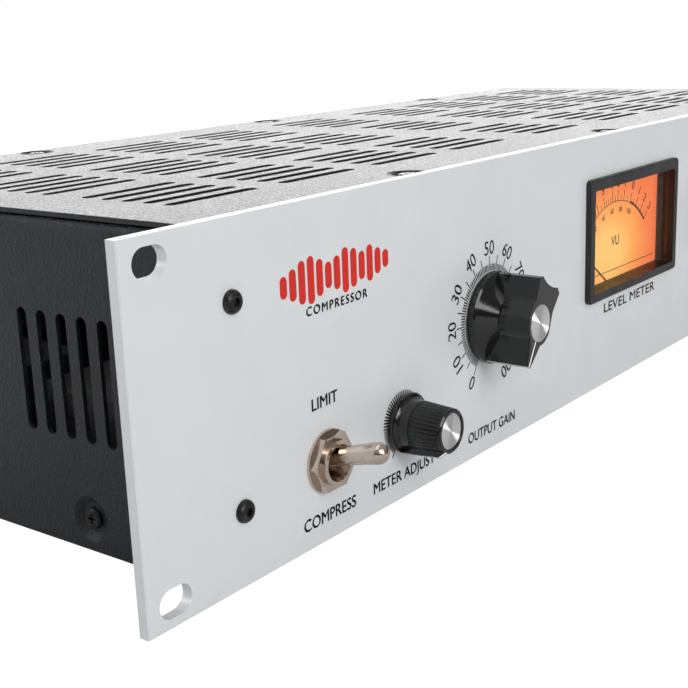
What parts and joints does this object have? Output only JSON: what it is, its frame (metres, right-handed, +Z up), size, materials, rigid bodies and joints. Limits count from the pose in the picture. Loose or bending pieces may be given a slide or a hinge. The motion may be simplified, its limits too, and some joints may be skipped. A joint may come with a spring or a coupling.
{
  "type": "rack compressor",
  "caption": "Two-unit rack audio compressor with large gain and peak reduction knobs, a back-lit level meter, toggle switches and a vented sheet-metal case.",
  "frame": {"origin": "centre of the front panel's front face, which is the centre of the four rack slots", "axes": "+X to the right along the panel, +Y into the case towards the rear connectors, +Z up"},
  "size_m": [0.4826, 0.1996, 0.0882],
  "materials": {
    "panel_silver": "satin light grey paint",
    "case_charcoal": "fine textured powder coat",
    "black_screw": "black oxide",
    "meter_black": "satin moulded",
    "clear_lens": "clear",
    "lit_scale": "back-lit amber",
    "needle_brown": "matte",
    "plain_steel": "zinc plated",
    "lamp_glass": "clear",
    "knob_black": "glossy",
    "spun_aluminium": "spun",
    "nickel": "bright nickel",
    "jewel_red": "translucent",
    "board_green": "solder mask",
    "ceramic": "matt",
    "tube_glass": "clear",
    "capacitor_blue": "shrink sleeve",
    "transformer_steel": "lacquered",
    "connector_black": "satin",
    "connector_plastic": "moulded",
    "slider_red": "moulded"
  },
  "bodies": {
    "chassis": {"faceplate": "panel_silver", "faceplate_screws": "black_screw", "front_subpanel": "case_charcoal", "left_side": "case_charcoal", "right_side": "case_charcoal", "bottom_tray": "case_charcoal", "rear_panel": "case_charcoal", "top_cover": "case_charcoal", "case_screws": "black_screw", "meter_bezel": "meter_black", "meter_lens": "clear_lens", "meter_case": "meter_black", "meter_scale_plate": "lit_scale", "meter_movement": "plain_steel", "meter_lamps": "lamp_glass", "meter_strap": "plain_steel", "bushing_nuts": "nickel", "mode_switch": "nickel", "power_switch": "nickel", "toggle_washers": "nickel", "toggle_nuts": "nickel", "pilot_bezel": "nickel", "pilot_jewel": "jewel_red", "main_board": "board_green", "board_standoffs": "plain_steel", "board_screws": "plain_steel", "tube_sockets": "ceramic", "vacuum_tubes": "tube_glass", "opto_cell": "spun_aluminium", "filter_capacitors": "capacitor_blue", "power_transformer": "transformer_steel", "audio_transformers": "transformer_steel", "xlr_input": "connector_black", "xlr_output": "connector_black", "trs_jacks": "connector_plastic", "power_inlet": "connector_plastic", "voltage_selector": "connector_plastic", "connector_screws": "black_screw", "output_gain_pot": "plain_steel", "peak_reduction_pot": "plain_steel", "meter_adjust_pot": "plain_steel", "meter_select_switch": "plain_steel"},
    "output_gain": {"output_gain_knob": "knob_black", "output_gain_cap": "spun_aluminium", "output_gain_shaft": "plain_steel"},
    "peak_reduction": {"peak_reduction_knob": "knob_black", "peak_reduction_cap": "spun_aluminium", "peak_reduction_shaft": "plain_steel"},
    "meter_adjust": {"meter_adjust_knob": "knob_black", "meter_adjust_cap": "spun_aluminium", "meter_adjust_shaft": "plain_steel"},
    "meter_select": {"meter_select_knob": "knob_black", "meter_select_cap": "spun_aluminium", "meter_select_shaft": "plain_steel"},
    "mode_toggle": {"mode_lever": "nickel"},
    "power_toggle": {"power_lever": "nickel"},
    "needle": {"meter_needle": "needle_brown"},
    "fuse_holder": {"fuse_drawer": "connector_plastic"},
    "input_latch": {"xlr_latch": "nickel"},
    "voltage_slide": {"voltage_slider": "slider_red"}
  },
  "joints": [
    {"name": "output_gain_turn", "type": "hinge", "parent": "chassis", "child": "output_gain", "pos_m": [-0.0981, -0.009, -0.0024], "axis": [0, 1, 0], "range_deg": [0, 300]},
    {"name": "peak_reduction_turn", "type": "hinge", "parent": "chassis", "child": "peak_reduction", "pos_m": [0.0981, -0.009, -0.0024], "axis": [0, 1, 0], "range_deg": [0, 300]},
    {"name": "meter_adjust_turn", "type": "hinge", "parent": "chassis", "child": "meter_adjust", "pos_m": [-0.144, -0.009, -0.022], "axis": [0, 1, 0], "range_deg": [0, 300]},
    {"name": "meter_select_turn", "type": "hinge", "parent": "chassis", "child": "meter_select", "pos_m": [0.144, -0.009, -0.022], "axis": [0, 1, 0], "range_deg": [0, 80]},
    {"name": "mode_toggle_flip", "type": "hinge", "parent": "chassis", "child": "mode_toggle", "pos_m": [-0.1774, 0.003, -0.0225], "axis": [1, 0, 0], "range_deg": [0, 29]},
    {"name": "power_toggle_flip", "type": "hinge", "parent": "chassis", "child": "power_toggle", "pos_m": [0.1774, 0.003, -0.0225], "axis": [1, 0, 0], "range_deg": [0, 29]},
    {"name": "needle_swing", "type": "hinge", "parent": "chassis", "child": "needle", "pos_m": [0, 0.0056, -0.0153], "axis": [0, 1, 0], "range_deg": [0, 110], "stiffness_Nm_per_rad": 0.00001, "springref_deg": -28.65},
    {"name": "fuse_drawer_pull", "type": "slide", "parent": "chassis", "child": "fuse_holder", "axis": [0, 1, 0], "range_m": [0, 0.012]},
    {"name": "input_latch_press", "type": "slide", "parent": "chassis", "child": "input_latch", "axis": [0, -1, 0], "range_m": [0, 0.0015], "stiffness_N_per_m": 300, "springref_m": -0.001},
    {"name": "voltage_slide_shift", "type": "slide", "parent": "chassis", "child": "voltage_slide", "axis": [1, 0, 0], "range_m": [0, 0.0066]}
  ]
}
